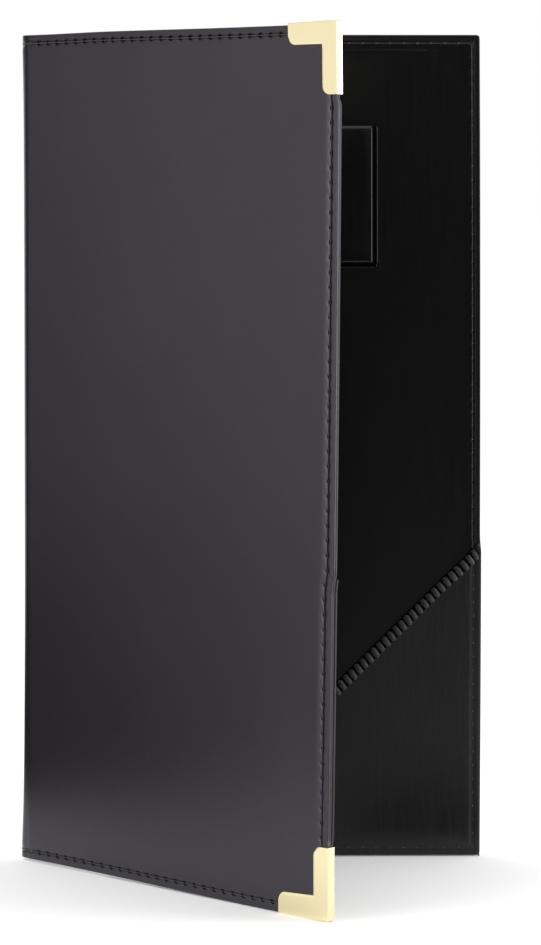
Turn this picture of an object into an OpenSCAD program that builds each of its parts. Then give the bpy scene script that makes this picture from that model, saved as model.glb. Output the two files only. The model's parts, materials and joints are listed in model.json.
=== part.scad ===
// Guest check presenter: two stiffened leatherette covers on a soft spine, with a diagonal
// bill pocket in each cover, a welded card pocket and folded metal corners on the front.
// It stands open on its lower edges. +Z runs up the covers, the back cover lies along X,
// and the origin is the middle of the standing folder's box, at the surface it stands on.

/* [Covers] */
// Height of a cover
cover_h = 254; // [200:1:320]
// Width of a cover, from where the spine starts to curve to the fore edge
cover_w = 134; // [120:1:200]
// Radius of the two corners at the fore edge
corner_r = 0.8; // [0.8:0.1:4]
// Angle between the covers as the folder stands
open_angle = 47.7; // [30:0.1:100]
// Outer radius of the soft spine
spine_r = 6.5; // [6:0.1:9]

/* [Sheets] */
// Thickness of the outer leatherette
skin_t = 0.5; // [0.4:0.05:0.8]
// Thickness of the board in a cover
board_t = 1.0; // [0.8:0.1:2.5]
// Thickness of the lining
lining_t = 0.4; // [0.3:0.05:0.6]
// Width of the leatherette turned in over the board
turn_in = 8; // [5:0.5:12]
// Radius of a cover's folded edges
fold_r = 0.6; // [0.3:0.05:0.8]
// Border of turned-in leatherette left showing round the lining
border = 1.6; // [1:0.1:3]
// Width of the gutter between the spine's curve and the board
gutter = 3; // [2:0.1:6]
// Running gap between pieces that meet at a crease
crease_gap = 0.2; // [0.1:0.05:0.4]

/* [Seams] */
// Distance of the edge seam from a cover's edge
seam_inset = 2.6; // [2.2:0.1:5]
// Spacing of the stitches
stitch_pitch = 4.2; // [2.5:0.1:6]
// Length of thread that shows in one stitch
stitch_len = 3.4; // [1.5:0.1:4]
// Diameter of the sewing thread
thread_d = 0.5; // [0.3:0.05:0.8]
// Width of the groove that the seam pulls into a sheet
groove_w = 0.8; // [0.6:0.05:1.2]
// Depth of that groove
groove_d = 0.25; // [0.1:0.05:0.3]

/* [Bill pockets] */
// Height of a pocket up the fore edge
pocket_rise = 97; // [60:1:150]
// Length of a pocket along the lower edge
pocket_run = 98; // [60:1:115]
// Thickness of the pocket sheet
pocket_t = 0.5; // [0.4:0.05:0.8]
// Room behind the pocket sheet for folded paper
pocket_room = 0.4; // [0.3:0.05:1]
// Width of the flat hem that is sewn down
pocket_hem = 4.8; // [4.5:0.1:8]
// Spacing of the whipstitches along the mouth
whip_pitch = 2.39; // [2:0.01:4]
// Width of one whipstitch
whip_w = 1.5; // [1:0.1:2]
// Length of a whipstitch across the mouth's hem
whip_band = 2.5; // [2:0.1:6]
// Height of a whipstitch over the pocket sheet
whip_h = 0.6; // [0.4:0.05:1]
// Lean of the whipstitches from square to the mouth
whip_lean = 7; // [0:1:15]

/* [Card pocket] */
// Width of the card that the pocket holds
card_w = 85.6; // [80:0.1:100]
// Side clearance of the card in its pocket, in all
card_clear = 0.6; // [0.4:0.1:3]
// Room for the card's thickness
card_room = 0.9; // [0.8:0.1:2]
// Height of the pocket
card_pocket_h = 43.8; // [30:0.1:54]
// Height of the pocket's lower edge above the cover's lower edge
card_pocket_z = 182.2; // [160:0.1:200]
// Distance of the pocket from the fore edge
card_pocket_in = 31.7; // [10:0.1:36]
// Thickness of the pocket's vinyl
vinyl_t = 0.4; // [0.3:0.05:0.6]
// Width of the pressed channel along the weld
weld_w = 1.3; // [1:0.1:3]
// Width of the bead outside the weld
bead_w = 0.4; // [0.3:0.05:0.8]

/* [Metal corners] */
// Length of an arm along the cover's edge
corner_arm = 21; // [12:0.5:35]
// Width of an arm
corner_w = 6; // [4:0.1:9]
// Radius of an arm's inner end
corner_end_r = 2.8; // [1:0.1:3.5]
// Thickness of the sheet metal
metal_t = 0.4; // [0.3:0.05:0.6]
// Depth that a crimped corner presses into the cover
metal_press = 0.2; // [0.1:0.05:0.25]
// Outer radius of the metal's bends
metal_bend = 0.6; // [0.4:0.05:0.8]

/* [Hidden] */
$fn = 48;
skip = 1;                                     // overshoot of a cut

// Depths below a cover's outer face
board_deep = skin_t + board_t;                // inner face of the board
border_deep = board_deep + skin_t;            // face of the turned-in border
lining_deep = border_deep + lining_t;         // face of the lining
hem_deep = lining_deep + pocket_t;            // face of a bill pocket's sewn hem
pocket_deep = hem_deep + pocket_room;         // face of a bill pocket's sheet

// Metal corners
metal_proud = metal_t - metal_press;          // stands this far outside the cover
metal_r = corner_r + metal_proud;             // corner radius of the metal

// The spine is one arc that both covers run off square, so that each crease takes a half
spine_turn = 180 - open_angle;
web_t = skin_t + lining_t;                    // skin and lining with no board between
web_r = spine_r - web_t / 2;                  // radius through the middle of the web
skin_in_r = spine_r - skin_t;
lining_in_r = spine_r - web_t;
crease_turn = spine_turn / 4;                 // a crease's place along the arc
nose_r = web_t / 2;                           // rounded edge of a cover's web at a crease
strip_turn = crease_turn + (nose_r + crease_gap) / web_r * 180 / PI;

// The lining drops from the board to the web across the gutter
drop = lining_deep - web_t;
drop_run = min(drop * 0.85, gutter - 0.5);
drop_shift = lining_t * tan(atan2(drop, drop_run) / 2);

// Seams
seam_x = cover_w - seam_inset;
seam_top = cover_h - seam_inset;
stitches_x = floor(seam_x / stitch_pitch);
stitches_z = floor((seam_top - seam_inset) / stitch_pitch);
step_x = seam_x / stitches_x;
step_z = (seam_top - seam_inset) / stitches_z;

// The mouth of a bill pocket is a line from the fore edge down to the lower edge
mouth_len = sqrt(pow(pocket_rise, 2) + pow(pocket_run, 2));
mouth_slope = atan2(pocket_rise, pocket_run);
sheet_x = cover_w - border;
whips = floor(mouth_len / whip_pitch);
whip_end = (border + pocket_hem + whip_band) / min(cos(mouth_slope), sin(mouth_slope));
whip_over = 0.35;                             // thread past the mouth's edge
whip_back = 1.5;                              // length of thread behind the sheet
whip_back_t = pocket_room * 0.75;             // thickness of the thread behind the sheet
whip_top = pocket_room + pocket_t + whip_h;   // height of a whipstitch over the lining

// Card pocket
card_rim = weld_w + bead_w;
card_panel_w = card_w + card_clear + 2 * vinyl_t;
card_pocket_w = card_panel_w + 2 * card_rim;
card_x = cover_w - card_pocket_in - card_pocket_w;
card_panel_t = card_room + vinyl_t;
card_corner_r = 1.2;
weld_t = vinyl_t * 0.6;

// The standing folder's box, whose bottom centre is the origin
front_low = (cover_w + metal_proud - metal_bend) * sin(open_angle)
    + (spine_r + metal_proud - metal_bend) * cos(open_angle) + metal_bend;
middle_x = (cover_w - spine_r) / 2;
middle_y = (spine_r - front_low) / 2;

/* Placing: a cover is drawn with its outer face on y = 0 and its depth towards -y */

module as_back() {
    translate([-middle_x, spine_r - middle_y, metal_proud]) children();
}

module as_front() {
    translate([-middle_x, -middle_y, metal_proud])
        mirror([sin(open_angle / 2), cos(open_angle / 2), 0])
            translate([0, spine_r, 0]) children();
}

/* Outlines */

// A rectangle with round corners where x is greatest
module fore_rounded(x0, x1, y0, y1, r) {
    translate([x0, y0]) square([x1 - r - x0, y1 - y0]);
    translate([x1 - 2 * r, y0 + r]) square([2 * r, y1 - y0 - 2 * r]);
    for (y = [y0 + r, y1 - r])
        translate([x1 - r, y]) circle(r);
}

// A rectangle with four round corners
module all_rounded(x0, x1, y0, y1, r) {
    translate([x0 + r, y0]) square([x1 - x0 - 2 * r, y1 - y0]);
    translate([x0, y0 + r]) square([x1 - x0, y1 - y0 - 2 * r]);
    for (x = [x0 + r, x1 - r], y = [y0 + r, y1 - r])
        translate([x, y]) circle(r);
}

// Stands a front-view outline up, from depth d0 to depth d1
module at_depth(d0, d1) {
    translate([0, -d0, 0]) rotate([90, 0, 0]) linear_extrude(d1 - d0) children();
}

// A cover-shaped slab with folded edges, grown by out on its three free sides
module slab(d0, d1, out, edge_r, r) {
    intersection() {
        translate([0, 0, -out]) linear_extrude(cover_h + 2 * out)
            fore_rounded(0, cover_w + out, -d1, -d0, edge_r);
        rotate([90, 0, 90]) linear_extrude(cover_w + out)
            all_rounded(-d1, -d0, -out, cover_h + out, edge_r);
        at_depth(d0, d1) fore_rounded(0, cover_w + out, -out, cover_h + out, r);
    }
}

// Part of a ring about the spine's axis, from turn0 to turn1 degrees past a cover's edge
module arc_band(r0, r1, turn0, turn1) {
    reach = 3 * r1;
    translate([0, -spine_r]) intersection() {
        difference() {
            circle(r1);
            circle(r0);
        }
        polygon([[0, 0], for (t = [turn0, (turn0 + turn1) / 2, turn1])
            reach * [-sin(t), cos(t)]]);
    }
}

// The full round that the edge of a cover's web is worked to, on the crease
module web_nose() {
    translate([0, -spine_r]) rotate(crease_turn) translate([0, web_r]) circle(nose_r);
}

// The web of a cover past its edge: a band of the spine's arc with a round nose on the crease
module web_flap(r0, r1) {
    arc_band(r0, r1, 0, crease_turn);
    intersection() {
        arc_band(r0, r1, 0, 2 * crease_turn);
        web_nose();
    }
}

/* Seams */

// Where a seam groove runs on a cover, from depth d0 to depth d1
module seam_groove(d0, d1) {
    for (z = [seam_inset, seam_top])
        translate([0, -d1, z - groove_w / 2]) cube([seam_x + groove_w / 2, d1 - d0, groove_w]);
    translate([seam_x - groove_w / 2, -d1, seam_inset]) cube([groove_w, d1 - d0, seam_top - seam_inset]);
}

// The same groove where a sheet runs round the spine
module spine_groove(r0, r1, turn0, turn1) {
    for (z = [seam_inset, seam_top])
        translate([0, -spine_r, z - groove_w / 2]) rotate(90 + turn0)
            rotate_extrude(angle = turn1 - turn0) translate([r0, 0]) square([r1 - r0, groove_w]);
}

module half_thread() {
    intersection() {
        circle(d = thread_d);
        translate([0, -thread_d]) square([thread_d, 2 * thread_d]);
    }
}

// One stitch along X, flat side on y = 0 and round side towards +y
module stitch() {
    rotate([90, 0, 90]) linear_extrude(stitch_len, center = true) half_thread();
}

// One stitch round the spine at each end of it; side is 1 outside and -1 inside
module spine_stitches(r, side, turn) {
    span = min(stitch_len, web_r * crease_turn * 0.8 * PI / 180) / r * 180 / PI;
    for (z = [seam_inset, seam_top])
        translate([0, -spine_r, z]) rotate(90 + turn - span / 2)
            rotate_extrude(angle = span) translate([r, 0]) rotate(side > 0 ? 0 : 180) half_thread();
}

// How far a point lies inside the mouth of a bill pocket
function inside_mouth(x, z) = (1 - z / pocket_rise - (cover_w - x) / pocket_run)
    / sqrt(pow(pocket_rise, -2) + pow(pocket_run, -2));

// Whether a stitch lies wholly on the pocket, or wholly clear of it
function on_pocket(p) = inside_mouth(p[0], p[1]) > whip_band + stitch_len / 2;
function off_pocket(p) = inside_mouth(p[0], p[1]) < -whip_over - stitch_len / 2;

// Whether a stitch is clear of the metal corners, on a cover that has them
function clear_of_metal(p, metal) = !metal || p[0] < cover_w - corner_arm - stitch_len / 2
    || (p[1] > corner_arm + stitch_len / 2 && p[1] < cover_h - corner_arm - stitch_len / 2);

row_places = [for (i = [0 : stitches_x - 1], z = [seam_inset, seam_top]) [(i + 0.5) * step_x, z]];
fore_places = [for (i = [0 : stitches_z - 1]) [seam_x, seam_inset + (i + 0.5) * step_z]];

// Outer thread of the edge seam
module needle_thread(metal) {
    for (p = row_places)
        if (clear_of_metal(p, metal))
            translate([p[0], -groove_d, p[1]]) stitch();
    for (p = fore_places)
        if (clear_of_metal(p, metal))
            translate([p[0], -groove_d, p[1]]) rotate([0, -90, 0]) stitch();
    spine_stitches(spine_r - groove_d, 1, crease_turn / 2);
}

// Seats an inner stitch on the lining or on a pocket's hem, and leaves it out under the mouth
module inner_stitch_at(p, metal) {
    face = on_pocket(p) ? hem_deep : lining_deep;
    seated = on_pocket(p) || (off_pocket(p) && p[0] > gutter + stitch_len / 2);
    if (seated && clear_of_metal(p, metal))
        translate([p[0], groove_d - face, p[1]]) mirror([0, 1, 0]) children();
}

// Inner thread of the edge seam
module bobbin_thread(metal) {
    for (p = row_places)
        inner_stitch_at(p, metal) stitch();
    for (p = fore_places)
        inner_stitch_at(p, metal) rotate([0, -90, 0]) stitch();
    spine_stitches(lining_in_r + groove_d, -1, crease_turn / 2);
}

/* Metal corners: end is 0 at the bottom and 1 at the top */

module at_end(end) {
    translate([0, 0, end * cover_h]) mirror([0, 0, end]) children();
}

// Depth of the pressed cover under a metal corner, which takes in the pocket's hem at the bottom
function metal_core_deep(end) = (end == 0 ? hem_deep : lining_deep) - metal_press;

module metal_arm(out) {
    difference() {
        translate([-out, -out]) square([corner_arm + out, corner_w + out]);
        translate([corner_arm - corner_end_r, corner_w - corner_end_r]) difference() {
            square(corner_end_r + skip);
            circle(corner_end_r);
        }
    }
}

// Two equal arms along the edges, grown outwards by out
module metal_outline(out) {
    translate([cover_w + metal_proud, -metal_proud]) mirror([1, 0]) {
        metal_arm(out);
        mirror([1, -1]) metal_arm(out);
    }
}

module metal_core(end) {
    slab(metal_press, metal_core_deep(end), -metal_press, metal_bend - metal_t, corner_r - metal_press);
}

// What a crimped corner takes out of the sheets that it is pressed over
module metal_seat(end) {
    at_end(end) difference() {
        at_depth(-skip, pocket_deep + skip) metal_outline(skip);
        metal_core(end);
    }
}

// Sheet metal folded over both edges of a cover, with round arm ends
module metal_corner(end) {
    at_end(end) difference() {
        intersection() {
            slab(-metal_proud, metal_core_deep(end) + metal_t, metal_proud, metal_bend, metal_r);
            at_depth(-metal_proud - skip, pocket_deep + skip) metal_outline(0);
        }
        metal_core(end);
    }
}

/* Covers */

// Leatherette turned in at the ends of the web and gutter, level with the lining beside it
module skin_web_end() {
    web_flap(lining_in_r, skin_in_r);
    polygon([
        [0, -skin_t], [0, -web_t], [gutter - drop_run - drop_shift, -web_t],
        [gutter, -border_deep], [gutter, -skin_t],
    ]);
}

// Outer leatherette: the face, its folded edges, the turned-in border and the web to the crease
module cover_skin(metal) {
    difference() {
        union() {
            difference() {
                slab(0, border_deep, 0, fold_r, corner_r);
                at_depth(skin_t, board_deep)
                    fore_rounded(-skip, cover_w - skin_t, skin_t, cover_h - skin_t, corner_r - skin_t);
                at_depth(board_deep - board_t / 2, border_deep + skip) translate([-skip, turn_in])
                    square([cover_w - turn_in + skip, cover_h - 2 * turn_in]);
                translate([-skip, -border_deep - skip, -skip])
                    cube([gutter + skip, border_deep - skin_t + skip, cover_h + 2 * skip]);
            }
            linear_extrude(cover_h) web_flap(skin_in_r, spine_r);
            for (end = [0, 1])
                at_end(end) linear_extrude(border) skin_web_end();
        }
        seam_groove(-skip, groove_d);
        spine_groove(spine_r - groove_d, spine_r + skip, 0, 2 * crease_turn);
        if (metal)
            for (end = [0, 1])
                metal_seat(end);
    }
}

module board() {
    at_depth(skin_t, board_deep)
        fore_rounded(gutter, cover_w - skin_t, skin_t, cover_h - skin_t, corner_r - skin_t);
}

// Card that fills the space inside the turned-in border, so that the lining lies level
module infill() {
    at_depth(board_deep, border_deep) translate([gutter, turn_in])
        square([cover_w - turn_in - gutter, cover_h - 2 * turn_in]);
}

// Inner sheet: level over the cover, down the gutter and along the web to the crease
module lining(metal) {
    difference() {
        translate([0, 0, border]) union() {
            linear_extrude(cover_h - 2 * border) polygon([
                [sheet_x, -border_deep], [sheet_x, -lining_deep],
                [gutter - drop_shift, -lining_deep], [gutter - drop_run - drop_shift, -web_t],
                [0, -web_t], [0, -skin_t],
                [gutter - drop_run, -skin_t], [gutter, -border_deep],
            ]);
            linear_extrude(cover_h - 2 * border) arc_band(lining_in_r, skin_in_r, 0, 2 * crease_turn);
        }
        linear_extrude(cover_h) difference() {
            arc_band(lining_in_r - skip, skin_in_r + skip, crease_turn, 3 * crease_turn);
            web_nose();
        }
        seam_groove(lining_deep - groove_d, lining_deep + skip);
        spine_groove(lining_in_r - skip, lining_in_r + groove_d, 0, 2 * crease_turn);
        if (metal)
            for (end = [0, 1])
                metal_seat(end);
    }
}

/* Spine */

module spine_strip(r0, r1, height) {
    linear_extrude(height) arc_band(r0, r1, strip_turn, spine_turn - strip_turn);
}

// The spine's outer strip, let in between its two ends for the lining
module spine_outer() {
    difference() {
        spine_strip(lining_in_r, spine_r, cover_h);
        translate([0, 0, border]) linear_extrude(cover_h - 2 * border)
            arc_band(lining_in_r - skip, skin_in_r, 0, spine_turn);
        spine_groove(spine_r - groove_d, spine_r + skip, 0, spine_turn);
    }
}

module spine_inner() {
    difference() {
        translate([0, 0, border]) spine_strip(lining_in_r, skin_in_r, cover_h - 2 * border);
        spine_groove(lining_in_r - skip, lining_in_r + groove_d, 0, spine_turn);
    }
}

/* Bill pockets */

// Outline of a bill pocket, held in from the fore and lower edges
module pocket_outline(inset) {
    polygon([
        [cover_w - inset, inset],
        [cover_w - inset, pocket_rise * (1 - inset / pocket_run)],
        [cover_w - pocket_run * (1 - inset / pocket_rise), inset],
    ]);
}

// The quarter of the cover inside a hem of the given width
module inside_hem(hem) {
    translate([-skip, border + hem]) square([sheet_x - hem + skip, cover_h]);
}

// The sheet lies flat at its sewn hem and stands off the lining inside it
module bill_pocket(metal) {
    difference() {
        at_depth(lining_deep, pocket_deep) pocket_outline(border);
        at_depth(lining_deep - skip, lining_deep + pocket_room) inside_hem(pocket_hem);
        at_depth(hem_deep, pocket_deep + skip) difference() {
            translate([-2 * skip, 0]) square([cover_w + 2 * skip, cover_h]);
            inside_hem(pocket_hem - pocket_t);
        }
        seam_groove(hem_deep - groove_d, hem_deep + skip);
        if (metal) metal_seat(0);
    }
}

// Side of a whipstitch: x runs into the pocket from its mouth, y is height over the lining.
// low is its lowest point, and back the length of thread behind the sheet
module whip_side(low, back) {
    difference() {
        all_rounded(-whip_over, whip_band, low, whip_top, whip_h / 2);
        translate([back, low - skip]) square([whip_band, pocket_room - low + skip]);
    }
}

// Section of a whipstitch: a round cap over the sheet and square sides below it
module whip_section() {
    cap_r = (pow(whip_w / 2, 2) + pow(whip_h, 2)) / (2 * whip_h);
    translate([-whip_w / 2, 0]) square([whip_w, whip_top - whip_h]);
    intersection() {
        translate([0, whip_top - cap_r]) circle(cap_r);
        translate([-whip_w / 2, whip_top - whip_h]) square([whip_w, whip_h]);
    }
}

// One whipstitch, at a distance along the mouth from the fore edge, closed on the sheet's edge
module whip(distance, low, back) {
    translate([cover_w - distance * cos(mouth_slope), -lining_deep, pocket_rise - distance * sin(mouth_slope)])
        rotate([180, 90 - mouth_slope, 0]) difference() {
            rotate([0, -whip_lean, 0]) intersection() {
                linear_extrude(2 * whip_w, center = true) whip_side(low, back);
                rotate([0, 90, 0]) linear_extrude(4 * whip_band, center = true) whip_section();
            }
            translate([0, pocket_room, -2 * whip_w]) cube([2 * whip_band, pocket_t, 4 * whip_w]);
        }
}

// Thread whipped round the mouth's edge; near its ends the sheet is sewn down, with none behind it
module whipstitch(metal) {
    for (i = [1 : whips - 2]) {
        distance = (i + 0.5) * whip_pitch;
        if (distance > whip_end && distance < mouth_len - whip_end)
            whip(distance, pocket_room - whip_back_t, whip_back);
        else
            difference() {
                intersection() {
                    whip(distance, 0, 0);
                    at_depth(lining_deep, pocket_deep + 2 * whip_h) translate([0, border])
                        square([sheet_x, cover_h]);
                }
                bill_pocket(metal);
            }
    }
}

/* Card pocket */

// Outline with round lower corners, held in from its sides and lower edge
module card_outline(inset) {
    r = card_corner_r - min(inset, card_rim) / 4;
    x0 = card_x + inset;
    x1 = card_x + card_pocket_w - inset;
    z0 = card_pocket_z + inset;
    z1 = card_pocket_z + card_pocket_h;
    translate([x0, z0 + r]) square([x1 - x0, z1 - z0 - r]);
    translate([x0 + r, z0]) square([x1 - x0 - 2 * r, 2 * r]);
    for (x = [x0 + r, x1 - r])
        translate([x, z0 + r]) circle(r);
}

// Vinyl welded to the lining at its sides and foot: a bead, a pressed channel and a raised panel
module card_vinyl() {
    panel_x = card_x + card_rim;
    panel_deep = lining_deep + card_panel_t;
    difference() {
        union() {
            at_depth(lining_deep, lining_deep + weld_t) card_outline(0);
            at_depth(lining_deep, lining_deep + vinyl_t) difference() {
                card_outline(0);
                card_outline(bead_w);
            }
            intersection() {
                at_depth(lining_deep, panel_deep) card_outline(card_rim);
                translate([0, 0, card_pocket_z]) linear_extrude(card_pocket_h)
                    all_rounded(panel_x, panel_x + card_panel_w, -panel_deep, 0, vinyl_t);
                rotate([90, 0, 90]) linear_extrude(cover_w)
                    all_rounded(-panel_deep, 0, card_pocket_z + card_rim, cover_h, vinyl_t);
            }
        }
        translate([panel_x + vinyl_t, -lining_deep - card_room, card_pocket_z + card_rim + vinyl_t])
            cube([card_w + card_clear, card_room + skip, card_pocket_h]);
    }
}

/* Pieces */

module back_cover_skin() { color("#242326") as_back() cover_skin(false); }
module back_board() { color("#8c8274") as_back() board(); }
module back_infill() { color("#a39a8b") as_back() infill(); }
module back_lining() { color("#121214") as_back() lining(false); }
module back_bill_pocket() { color("#232124") as_back() bill_pocket(false); }
module back_whipstitch() { color("#3c3c3e") as_back() whipstitch(false); }
module card_pocket() { color("#0e0e10") as_back() card_vinyl(); }
module back_needle_thread() { color("#1c1b1e") as_back() needle_thread(false); }
module back_bobbin_thread() { color("#1c1b1e") as_back() bobbin_thread(false); }

module spine_skin() { color("#3c3b3f") as_back() spine_outer(); }
module spine_lining() { color("#121214") as_back() spine_inner(); }
module spine_needle_thread() {
    color("#1c1b1e") as_back() spine_stitches(spine_r - groove_d, 1, spine_turn / 2);
}
module spine_bobbin_thread() {
    color("#1c1b1e") as_back() spine_stitches(lining_in_r + groove_d, -1, spine_turn / 2);
}

module front_cover_skin() { color("#434146") as_front() cover_skin(true); }
module front_board() { color("#8c8274") as_front() board(); }
module front_infill() { color("#a39a8b") as_front() infill(); }
module front_lining() { color("#121214") as_front() lining(true); }
module front_bill_pocket() { color("#232124") as_front() bill_pocket(true); }
module front_whipstitch() { color("#3c3c3e") as_front() whipstitch(true); }
module front_needle_thread() { color("#1c1b1e") as_front() needle_thread(true); }
module front_bobbin_thread() { color("#1c1b1e") as_front() bobbin_thread(true); }
module top_metal_corner() { color("#f2e6ba") as_front() metal_corner(1); }
module bottom_metal_corner() { color("#f2e6ba") as_front() metal_corner(0); }

back_cover_skin();
back_board();
back_infill();
back_lining();
back_bill_pocket();
back_whipstitch();
card_pocket();
back_needle_thread();
back_bobbin_thread();
spine_skin();
spine_lining();
spine_needle_thread();
spine_bobbin_thread();
front_cover_skin();
front_board();
front_infill();
front_lining();
front_bill_pocket();
front_whipstitch();
front_needle_thread();
front_bobbin_thread();
top_metal_corner();
bottom_metal_corner();
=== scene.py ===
import bpy, bmesh, json, math
from mathutils import Matrix, Vector, noise
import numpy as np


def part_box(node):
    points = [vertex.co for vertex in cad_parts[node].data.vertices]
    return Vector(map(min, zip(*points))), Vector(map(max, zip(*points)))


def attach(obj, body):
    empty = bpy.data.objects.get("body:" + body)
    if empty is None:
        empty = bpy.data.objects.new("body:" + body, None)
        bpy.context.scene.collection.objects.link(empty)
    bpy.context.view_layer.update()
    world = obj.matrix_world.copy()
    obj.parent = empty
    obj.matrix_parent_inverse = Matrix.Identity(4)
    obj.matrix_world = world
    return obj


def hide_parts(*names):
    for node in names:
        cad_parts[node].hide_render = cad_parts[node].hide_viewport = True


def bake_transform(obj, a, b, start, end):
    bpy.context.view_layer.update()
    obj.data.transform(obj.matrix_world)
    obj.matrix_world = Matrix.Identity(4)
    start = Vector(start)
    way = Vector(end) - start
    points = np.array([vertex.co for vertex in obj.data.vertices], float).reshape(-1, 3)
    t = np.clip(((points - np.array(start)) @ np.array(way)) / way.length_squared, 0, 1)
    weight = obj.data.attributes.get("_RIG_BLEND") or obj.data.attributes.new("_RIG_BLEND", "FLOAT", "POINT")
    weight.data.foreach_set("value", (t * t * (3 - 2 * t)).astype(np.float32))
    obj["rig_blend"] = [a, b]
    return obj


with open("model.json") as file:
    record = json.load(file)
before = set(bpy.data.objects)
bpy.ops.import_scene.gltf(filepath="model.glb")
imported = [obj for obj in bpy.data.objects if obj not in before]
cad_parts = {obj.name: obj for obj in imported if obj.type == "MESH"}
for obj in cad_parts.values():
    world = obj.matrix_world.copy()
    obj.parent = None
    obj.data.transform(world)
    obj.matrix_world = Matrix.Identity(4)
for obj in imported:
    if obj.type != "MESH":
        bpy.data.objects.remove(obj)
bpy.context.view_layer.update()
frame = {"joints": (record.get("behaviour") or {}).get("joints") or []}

# ---------------------------------------------------------------- sizes of the folder, in mm
COVER_H = 254.0
COVER_W = 134.0            # from where the spine starts to curve to the fore edge
CORNER_R = 0.8
SPINE_R = 6.5
LEATHER_T = 0.5
LINING_T = 0.4
WEB_T = LEATHER_T + LINING_T
BORDER_DEEP = 2.0          # face of the turned-in border, below the outer face
LINING_DEEP = 2.4
HEM_DEEP = 2.9
POCKET_DEEP = 3.3
GUTTER = 3.0
SEAM = 2.6                 # from the cover's edge to the stitches
STITCH_PITCH = 4.2
FOOT = 0.2                 # the metal corners stand this far below the covers
MOUTH_RISE, MOUTH_RUN = 97.0, 98.0

# The metal corners: the level arm lies along a row of stitches, the other one up the fore edge
CORNER_ARM_R = 2.8         # radius of the arms' round ends
CORNER_REACH = {"head": {"row": 20.0, "fore": 20.9}, "foot": {"row": 22.1, "fore": 21.0}}
CORNER_ARM_W = {"head": 6.4, "foot": 6.5}
ROW_ARM_EXTRA = {"head": 0.35, "foot": 0.72}   # the level arm is wider by this much at the elbow
ROW_ARM_TAPER = 0.022      # and loses this much of it for each mm beyond

OPEN = math.radians(-2 * frame["joints"][0]["range_deg"][0])
SPINE_TURN = math.pi - OPEN
HALF_SPINE = SPINE_R * SPINE_TURN / 2
CREASE = SPINE_TURN / 4
AXIS_X = 1000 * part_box("spine_skin")[0].x + SPINE_R
AXIS_Y = 1000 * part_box("back_cover_skin")[1].y - SPINE_R

# How the standing folder has settled
FRONT_TWIST = math.radians(1.6)    # the front cover is turned this much more at its foot than at its head
UNTWISTED = 0.623                  # share of the height where it isn't turned
POCKET_NIP = {"front": -0.9, "back": 0.4}   # the fore edge moves in or out where a pocket is sewn into it
FORE_BOW = 0.42                    # the fore edges stand out by this much at mid-height
FOOT_LIFT, HEAD_SINK = 0.75, 0.4   # by the spine the folder's foot has lifted and its head sunk
FORE_RISE = 0.2                    # and the front cover's top outer corner has risen
SPINE_FLARE = 0.75                 # the spine spreads by this much at its foot
FLARE_REACH = 15.0
HEAD_FLARE, MIDDLE_FLARE = 0.75, -0.12      # and by these shares of it at its head and between
LOW_FLARE, LOW_FLARE_REACH = 0.8, 110.0     # a second, slower spread in its lower part
FACE_WAVE = 0.10                   # slow unevenness of the glued leatherette
PINCH = 0.24                       # share of its thickness that the front cover loses under a metal corner
PINCH_SHIFT = {"head": -0.35, "foot": 0.45}  # and how far its fore edge is pushed out there
PINCH_FADE = 2.0                   # the pinch fades out over this much beside the metal

# How the sewing pulls the sheets in
SEAM_GROOVE, SEAM_GROOVE_HALF = 0.2, 0.42
SEAM_HOLE, HOLE_HALF_LONG, HOLE_HALF_WIDE = 0.7, 0.62, 0.48
HOLE_SHADE_HALF_LONG, HOLE_SHADE_HALF_WIDE = 0.66, 0.55   # size of the painted shade that darkens each needle hole
MARGIN_FALL = 0.12                 # the leatherette drops by this much from the board's edge to its own
MARGIN_ROLL = 0.1                  # and by about this much more at the very edge
EDGE_FALL = MARGIN_FALL + 0.06     # the rolled edge itself has dropped by this much


# ---------------------------------------------------------------- bending a flat sheet into the folder
def smooth(x, a, b):
    """Rises from 0 at a to 1 at b, and levels out at both."""
    t = min(1.0, max(0.0, (x - a) / (b - a)))
    return t * t * (3 - 2 * t)


def settle(s, z):
    """How far the cover's face stands out at s along the cover and height z."""
    wave = noise.noise(Vector((s / 46, z / 70, 3.7))) + 0.5 * noise.noise(Vector((s / 19, z / 27, 9.1)))
    return FACE_WAVE * wave * smooth(s, 0, 14) * smooth(COVER_W - s, 2, 14)


def fore_edge(s, z, side):
    """How far the fore edge has moved out: bowed over its height, and nipped where the pocket is sewn in."""
    arch = math.sin(math.pi * min(1, max(0, z / COVER_H))) ** 0.8 - 0.6
    near_edge = smooth(s, COVER_W - 12, COVER_W - 4)
    below_mouth = 1 - smooth(z, MOUTH_RISE - 4, MOUTH_RISE + 3)
    return FORE_BOW * (s / COVER_W) ** 3 * arch + POCKET_NIP[side] * near_edge * below_mouth


def lifted(s, z, side):
    """How far the folder's foot has lifted towards the spine, and its head sunk."""
    share, foot, head = max(s, 0) / COVER_W, 1 - z / COVER_H, z / COVER_H
    if side == "back":
        round_spine = smooth(-s, 0, HALF_SPINE)
        return FOOT_LIFT * round_spine * foot ** 3 - HEAD_SINK * round_spine * head ** 3
    foot_lift = FOOT_LIFT * (1 - smooth(share, 0.1, 0.8))
    head_lift = FORE_RISE * smooth(share, 0.6, 1) - HEAD_SINK * (1 - smooth(share, 0, 0.3))
    return foot_lift * max(foot, 0) ** 3 + head_lift * head ** 3


def under_metal(s, z, end):
    """1 under the two arms of a metal corner, falling to 0 beside them."""
    from_fore, from_row = COVER_W - s, z if end == "foot" else COVER_H - z
    reach = CORNER_REACH[end]["row" if from_fore > from_row else "fore"]
    beyond = max(max(from_fore, from_row) - reach, min(from_fore, from_row) - CORNER_ARM_W[end], 0)
    return 1 - smooth(beyond, 0, PINCH_FADE)


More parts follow.
